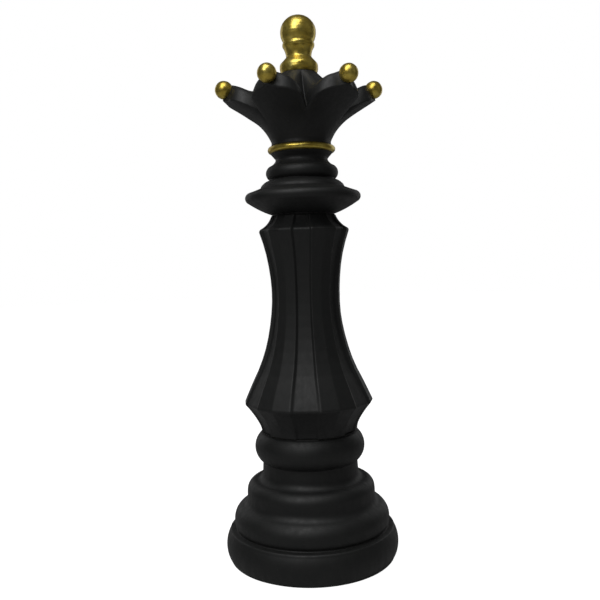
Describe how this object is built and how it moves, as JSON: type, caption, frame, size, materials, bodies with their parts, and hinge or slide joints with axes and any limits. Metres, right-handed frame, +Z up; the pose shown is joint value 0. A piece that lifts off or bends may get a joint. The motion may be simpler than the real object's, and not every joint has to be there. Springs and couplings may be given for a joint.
{
  "type": "giant chess piece",
  "caption": "Tall garden chess queen: stepped round foot, fluted waisted column, turned collar with a gold band, flaring petal crown with gold balls and a gold finial.",
  "frame": {"origin": "centre of the foot on the ground plane", "axes": "+Z up along the piece's turned axis, -Y towards the viewer, +X to the viewer's right"},
  "size_m": [0.1942, 0.1942, 0.6],
  "materials": {
    "black_shell": "satin black paint, slightly uneven, over a moulded shell",
    "black_plate": "fine moulded texture, unpainted",
    "steel": "zinc plated",
    "black_rubber": "matt",
    "sand": "packed dry sand",
    "gold_paint": "brushed-on metallic gold paint, slightly mottled",
    "brass": "turned"
  },
  "bodies": {
    "base": {"base_shell": "black_shell", "base_plate": "black_plate", "base_plate_screws": "steel", "foot_pads": "black_rubber", "sand_ballast": "sand", "base_seal": "black_rubber"},
    "filler": {"filler_cap": "black_plate", "filler_cap_seal": "black_rubber"},
    "column": {"column_shell": "black_shell", "column_seal": "black_rubber"},
    "neck": {"neck_collar": "black_shell", "neck_ring": "gold_paint"},
    "crown": {"crown_shell": "black_shell", "crown_ball_1": "gold_paint", "crown_ball_2": "gold_paint", "crown_ball_3": "gold_paint", "crown_ball_4": "gold_paint", "crown_ball_5": "gold_paint", "crown_ball_6": "gold_paint", "finial_bush": "brass"},
    "thread": {"finial_stud": "steel"},
    "top_knob": {"finial": "gold_paint"}
  },
  "joints": [
    {"name": "filler_turn", "type": "hinge", "parent": "base", "child": "filler", "pos_m": [0, 0, 0.004], "axis": [0, 0, 1], "range_deg": [0, 90]},
    {"name": "column_lift", "type": "slide", "parent": "base", "child": "column", "axis": [0, 0, 1], "range_m": [0, 0.04]},
    {"name": "neck_lift", "type": "slide", "parent": "column", "child": "neck", "axis": [0, 0, 1], "range_m": [0, 0.04]},
    {"name": "crown_lift", "type": "slide", "parent": "neck", "child": "crown", "axis": [0, 0, 1], "range_m": [0, 0.035]},
    {"name": "finial_rise", "type": "slide", "parent": "crown", "child": "thread", "axis": [0, 0, 1], "range_m": [0, 0.026]},
    {"name": "finial_turn", "type": "hinge", "parent": "thread", "child": "top_knob", "pos_m": [0, 0, 0.537], "axis": [0, 0, 1], "range_deg": [0, 2340]}
  ],
  "couplings": [
    {"joint": "finial_turn", "follows": "finial_rise", "rad_per_m": 1570.8}
  ]
}
